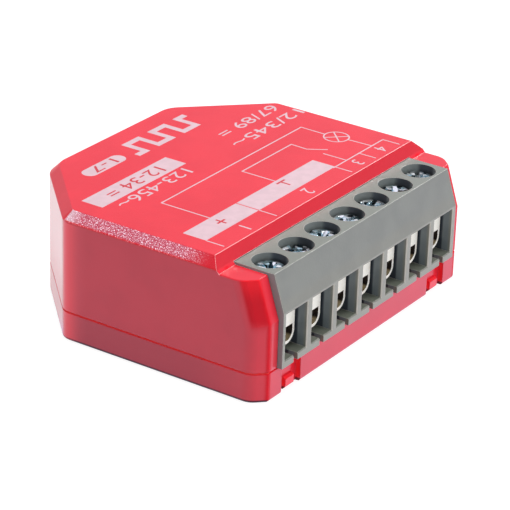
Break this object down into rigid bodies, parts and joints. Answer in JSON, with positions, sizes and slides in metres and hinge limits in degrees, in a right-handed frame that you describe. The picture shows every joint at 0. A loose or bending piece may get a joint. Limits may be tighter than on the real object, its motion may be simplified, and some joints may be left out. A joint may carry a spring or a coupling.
{
  "type": "smart relay module",
  "caption": "Flat in-wall relay module: two-part plastic case with cut rear corners, screw terminals along the front, a push button below and a relay and supply inside.",
  "frame": {"origin": "middle of the underside", "axes": "+X along the terminal row, -Y towards the wire entries, +Z towards the printed face"},
  "size_m": [0.042, 0.037, 0.0155],
  "materials": {
    "shell_red": "fine matte moulding texture",
    "block_grey": "satin moulding",
    "cage_steel": "nickel plated",
    "screw_steel": "zinc plated, blue passivated",
    "bar_brass": "tinned brass",
    "board_green": "solder resist",
    "button_red": "satin",
    "switch_black": "moulded",
    "light_clear": "clear resin",
    "can_sleeve": "drawn can",
    "tinned_wire": "tinned",
    "relay_shell": "moulded",
    "iron": "nickel plated iron",
    "bobbin_plastic": "moulded",
    "wound_copper": "enamelled copper",
    "spring_bronze": "rolled bronze",
    "contact_silver": "silver alloy",
    "ferrite": "sintered",
    "varistor_coat": "dipped epoxy",
    "resistor_coat": "cement coat",
    "chip_black": "moulded",
    "can_steel": "tinned sheet",
    "print_ink": "printed ink on the top"
  },
  "bodies": {
    "housing": {"aerial": "wound_copper", "base_shell": "shell_red", "capacitor_leads": "tinned_wire", "chip_legs": "tinned_wire", "choke_core": "ferrite", "choke_winding": "wound_copper", "coil_bobbin": "bobbin_plastic", "coil_pins": "tinned_wire", "coil_winding": "wound_copper", "contact_bars": "bar_brass", "converter_chip": "chip_black", "crystal": "can_steel", "fixed_contact": "contact_silver", "fixed_strip": "spring_bronze", "flyback_diode": "chip_black", "fuse_leads": "tinned_wire", "fuse_resistor": "resistor_coat", "header_pins": "tinned_wire", "header_strip": "switch_black", "leaf_post": "spring_bronze", "main_board": "board_green", "output_capacitor": "can_sleeve", "radio_board": "board_green", "radio_chip": "chip_black", "rectifier": "chip_black", "relay_base": "relay_shell", "relay_case": "relay_shell", "relay_core": "iron", "relay_driver": "chip_black", "relay_yoke": "iron", "shield_can": "can_steel", "status_light": "light_clear", "supply_capacitor_1": "can_sleeve", "supply_capacitor_2": "can_sleeve", "switch_body": "switch_black", "terminal_block": "block_grey", "top_shell": "shell_red", "varistor": "varistor_coat", "varistor_leads": "tinned_wire"},
    "screw_1": {"clamp_screw_1": "screw_steel"},
    "screw_2": {"clamp_screw_2": "screw_steel"},
    "screw_3": {"clamp_screw_3": "screw_steel"},
    "screw_4": {"clamp_screw_4": "screw_steel"},
    "screw_5": {"clamp_screw_5": "screw_steel"},
    "screw_6": {"clamp_screw_6": "screw_steel"},
    "screw_7": {"clamp_screw_7": "screw_steel"},
    "clamp_1": {"clamp_cage_1": "cage_steel"},
    "clamp_2": {"clamp_cage_2": "cage_steel"},
    "clamp_3": {"clamp_cage_3": "cage_steel"},
    "clamp_4": {"clamp_cage_4": "cage_steel"},
    "clamp_5": {"clamp_cage_5": "cage_steel"},
    "clamp_6": {"clamp_cage_6": "cage_steel"},
    "clamp_7": {"clamp_cage_7": "cage_steel"},
    "button": {"control_button": "button_red", "switch_stem": "button_red"},
    "armature": {"armature": "iron"},
    "card": {"relay_card": "bobbin_plastic"},
    "leaf": {"contact_leaf": "spring_bronze", "moving_contact": "contact_silver"}
  },
  "joints": [
    {"name": "screw_1_turn", "type": "hinge", "parent": "housing", "child": "screw_1", "pos_m": [-0.01524, -0.01477, 0.0135], "axis": [0, 0, -1], "range_deg": [-340, 1060]},
    {"name": "screw_2_turn", "type": "hinge", "parent": "housing", "child": "screw_2", "pos_m": [-0.01016, -0.01477, 0.0135], "axis": [0, 0, -1], "range_deg": [-340, 1060]},
    {"name": "screw_3_turn", "type": "hinge", "parent": "housing", "child": "screw_3", "pos_m": [-0.00508, -0.01477, 0.0135], "axis": [0, 0, -1], "range_deg": [-340, 1060]},
    {"name": "screw_4_turn", "type": "hinge", "parent": "housing", "child": "screw_4", "pos_m": [0, -0.01477, 0.0135], "axis": [0, 0, -1], "range_deg": [-340, 1060]},
    {"name": "screw_5_turn", "type": "hinge", "parent": "housing", "child": "screw_5", "pos_m": [0.00508, -0.01477, 0.0135], "axis": [0, 0, -1], "range_deg": [-340, 1060]},
    {"name": "screw_6_turn", "type": "hinge", "parent": "housing", "child": "screw_6", "pos_m": [0.01016, -0.01477, 0.0135], "axis": [0, 0, -1], "range_deg": [-340, 1060]},
    {"name": "screw_7_turn", "type": "hinge", "parent": "housing", "child": "screw_7", "pos_m": [0.01524, -0.01477, 0.0135], "axis": [0, 0, -1], "range_deg": [-340, 1060]},
    {"name": "clamp_1_lift", "type": "slide", "parent": "housing", "child": "clamp_1", "axis": [0, 0, 1], "range_m": [-0.00045, 0.00145]},
    {"name": "clamp_2_lift", "type": "slide", "parent": "housing", "child": "clamp_2", "axis": [0, 0, 1], "range_m": [-0.00045, 0.00145]},
    {"name": "clamp_3_lift", "type": "slide", "parent": "housing", "child": "clamp_3", "axis": [0, 0, 1], "range_m": [-0.00045, 0.00145]},
    {"name": "clamp_4_lift", "type": "slide", "parent": "housing", "child": "clamp_4", "axis": [0, 0, 1], "range_m": [-0.00045, 0.00145]},
    {"name": "clamp_5_lift", "type": "slide", "parent": "housing", "child": "clamp_5", "axis": [0, 0, 1], "range_m": [-0.00045, 0.00145]},
    {"name": "clamp_6_lift", "type": "slide", "parent": "housing", "child": "clamp_6", "axis": [0, 0, 1], "range_m": [-0.00045, 0.00145]},
    {"name": "clamp_7_lift", "type": "slide", "parent": "housing", "child": "clamp_7", "axis": [0, 0, 1], "range_m": [-0.00045, 0.00145]},
    {"name": "button_press", "type": "slide", "parent": "housing", "child": "button", "axis": [0, 0, 1], "range_m": [0, 0.00025], "stiffness_N_per_m": 2000},
    {"name": "armature_tip", "type": "hinge", "parent": "housing", "child": "armature", "pos_m": [0.01422, -0.0031, 0.0058], "axis": [0, -1, 0], "range_deg": [0, 3.9], "stiffness_Nm_per_rad": 0.0005},
    {"name": "card_push", "type": "slide", "parent": "housing", "child": "card", "axis": [-1, 0, 0], "range_m": [0, 0.000493]},
    {"name": "leaf_bend", "type": "hinge", "parent": "housing", "child": "leaf", "pos_m": [0.01767, -0.0031, 0.0055], "axis": [0, -1, 0], "range_deg": [0, 3.76]}
  ],
  "couplings": [
    {"joint": "screw_1_turn", "follows": "clamp_1_lift", "rad_per_m": 12566},
    {"joint": "screw_2_turn", "follows": "clamp_2_lift", "rad_per_m": 12566},
    {"joint": "screw_3_turn", "follows": "clamp_3_lift", "rad_per_m": 12566},
    {"joint": "screw_4_turn", "follows": "clamp_4_lift", "rad_per_m": 12566},
    {"joint": "screw_5_turn", "follows": "clamp_5_lift", "rad_per_m": 12566},
    {"joint": "screw_6_turn", "follows": "clamp_6_lift", "rad_per_m": 12566},
    {"joint": "screw_7_turn", "follows": "clamp_7_lift", "rad_per_m": 12566},
    {"joint": "card_push", "follows": "armature_tip", "m_per_rad": 0.007175},
    {"joint": "leaf_bend", "follows": "armature_tip", "ratio": 0.95987}
  ]
}
